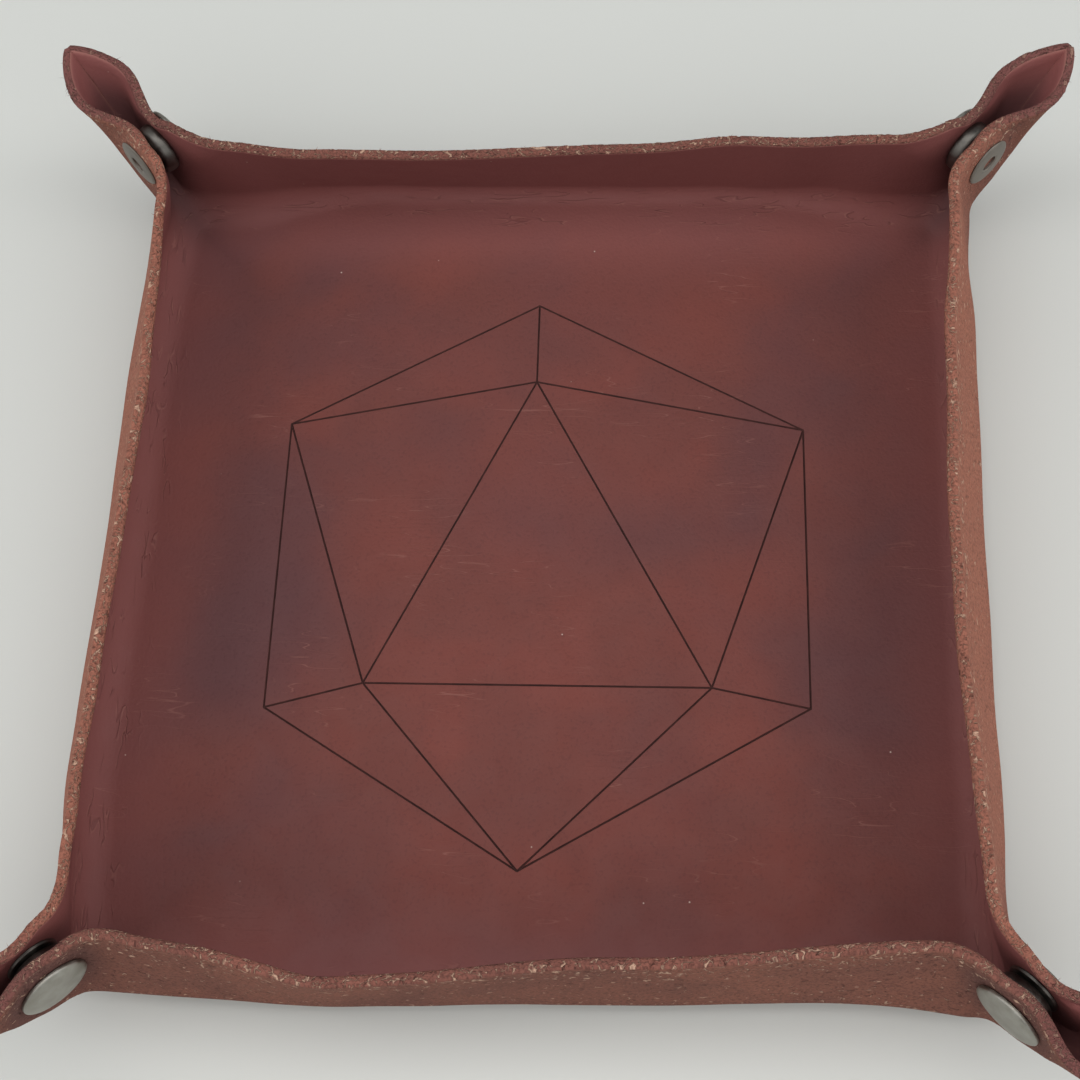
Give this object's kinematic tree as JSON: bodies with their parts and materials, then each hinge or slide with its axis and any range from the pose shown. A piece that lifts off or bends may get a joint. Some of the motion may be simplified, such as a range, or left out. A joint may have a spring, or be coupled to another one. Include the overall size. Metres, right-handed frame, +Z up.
{
  "type": "dice tray",
  "caption": "Square leather dice tray: one sheet with folded-up rims and corners pinched into ears, each closed by a metal press snap; unsnapped it opens nearly flat.",
  "frame": {"origin": "on the resting surface, under the centre of the floor", "axes": "+Z up, +X to the right and +Y to the back as seen from the bowed front wall"},
  "size_m": [0.2082, 0.2082, 0.0358],
  "materials": {
    "leather": "mottled reddish-brown grain side, rough tan flesh side, raw cut edges",
    "nickel": "worn antique nickel plate",
    "spring_steel": "plain wire"
  },
  "bodies": {
    "tray_floor": {"floor_panel": "leather"},
    "wall_back": {"wall_back": "leather"},
    "wall_front": {"wall_front": "leather"},
    "wall_right": {"wall_right": "leather"},
    "wall_left": {"wall_left": "leather"},
    "back_right_cap_leaf": {"back_right_cap_leaf": "leather", "back_right_cap": "nickel", "back_right_socket": "nickel", "back_right_socket_spring": "spring_steel"},
    "back_right_stud_leaf": {"back_right_stud_leaf": "leather", "back_right_stud": "nickel", "back_right_post": "nickel"},
    "back_left_cap_leaf": {"back_left_cap_leaf": "leather", "back_left_cap": "nickel", "back_left_socket": "nickel", "back_left_socket_spring": "spring_steel"},
    "back_left_stud_leaf": {"back_left_stud_leaf": "leather", "back_left_stud": "nickel", "back_left_post": "nickel"},
    "front_right_cap_leaf": {"front_right_cap_leaf": "leather", "front_right_cap": "nickel", "front_right_socket": "nickel", "front_right_socket_spring": "spring_steel"},
    "front_right_stud_leaf": {"front_right_stud_leaf": "leather", "front_right_stud": "nickel", "front_right_post": "nickel"},
    "front_left_cap_leaf": {"front_left_cap_leaf": "leather", "front_left_cap": "nickel", "front_left_socket": "nickel", "front_left_socket_spring": "spring_steel"},
    "front_left_stud_leaf": {"front_left_stud_leaf": "leather", "front_left_stud": "nickel", "front_left_post": "nickel"}
  },
  "joints": [
    {"name": "wall_back_fold", "type": "hinge", "parent": "tray_floor", "child": "wall_back", "pos_m": [0, 0.08447, 0.00323], "axis": [-1, 0, 0], "range_deg": [0, 90]},
    {"name": "wall_front_fold", "type": "hinge", "parent": "tray_floor", "child": "wall_front", "pos_m": [0, -0.08447, 0.00323], "axis": [1, 0, 0], "range_deg": [0, 90]},
    {"name": "wall_right_fold", "type": "hinge", "parent": "tray_floor", "child": "wall_right", "pos_m": [0.08447, 0, 0.00323], "axis": [0, 1, 0], "range_deg": [0, 90]},
    {"name": "wall_left_fold", "type": "hinge", "parent": "tray_floor", "child": "wall_left", "pos_m": [-0.08447, 0, 0.00323], "axis": [0, -1, 0], "range_deg": [0, 90]},
    {"name": "back_right_cap_leaf_bend", "type": "hinge", "parent": "wall_back", "child": "back_right_cap_leaf", "pos_m": [0.07994, 0.08425, 0.01003], "axis": [0.2657, 0.2657, -0.9267], "range_deg": [0, 40]},
    {"name": "back_right_stud_leaf_bend", "type": "hinge", "parent": "wall_right", "child": "back_right_stud_leaf", "pos_m": [0.08425, 0.07994, 0.01003], "axis": [-0.2657, -0.2657, 0.9267], "range_deg": [0, 40]},
    {"name": "back_left_cap_leaf_bend", "type": "hinge", "parent": "wall_back", "child": "back_left_cap_leaf", "pos_m": [-0.07994, 0.08425, 0.01003], "axis": [0.2657, -0.2657, 0.9267], "range_deg": [0, 40]},
    {"name": "back_left_stud_leaf_bend", "type": "hinge", "parent": "wall_left", "child": "back_left_stud_leaf", "pos_m": [-0.08425, 0.07994, 0.01003], "axis": [-0.2657, 0.2657, -0.9267], "range_deg": [0, 40]},
    {"name": "front_right_cap_leaf_bend", "type": "hinge", "parent": "wall_front", "child": "front_right_cap_leaf", "pos_m": [0.07994, -0.08425, 0.01003], "axis": [-0.2657, 0.2657, 0.9267], "range_deg": [0, 40]},
    {"name": "front_right_stud_leaf_bend", "type": "hinge", "parent": "wall_right", "child": "front_right_stud_leaf", "pos_m": [0.08425, -0.07994, 0.01003], "axis": [0.2657, -0.2657, -0.9267], "range_deg": [0, 40]},
    {"name": "front_left_cap_leaf_bend", "type": "hinge", "parent": "wall_front", "child": "front_left_cap_leaf", "pos_m": [-0.07994, -0.08425, 0.01003], "axis": [-0.2657, -0.2657, -0.9267], "range_deg": [0, 40]},
    {"name": "front_left_stud_leaf_bend", "type": "hinge", "parent": "wall_left", "child": "front_left_stud_leaf", "pos_m": [-0.08425, -0.07994, 0.01003], "axis": [0.2657, 0.2657, 0.9267], "range_deg": [0, 40]}
  ],
  "couplings": [
    {"joint": "wall_front_fold", "follows": "wall_back_fold", "ratio": 1},
    {"joint": "wall_right_fold", "follows": "wall_back_fold", "ratio": 1},
    {"joint": "wall_left_fold", "follows": "wall_back_fold", "ratio": 1},
    {"joint": "back_right_cap_leaf_bend", "follows": "wall_back_fold", "ratio": 0.44444},
    {"joint": "back_right_stud_leaf_bend", "follows": "wall_back_fold", "ratio": 0.44444},
    {"joint": "back_left_cap_leaf_bend", "follows": "wall_back_fold", "ratio": 0.44444},
    {"joint": "back_left_stud_leaf_bend", "follows": "wall_back_fold", "ratio": 0.44444},
    {"joint": "front_right_cap_leaf_bend", "follows": "wall_back_fold", "ratio": 0.44444},
    {"joint": "front_right_stud_leaf_bend", "follows": "wall_back_fold", "ratio": 0.44444},
    {"joint": "front_left_cap_leaf_bend", "follows": "wall_back_fold", "ratio": 0.44444},
    {"joint": "front_left_stud_leaf_bend", "follows": "wall_back_fold", "ratio": 0.44444}
  ]
}
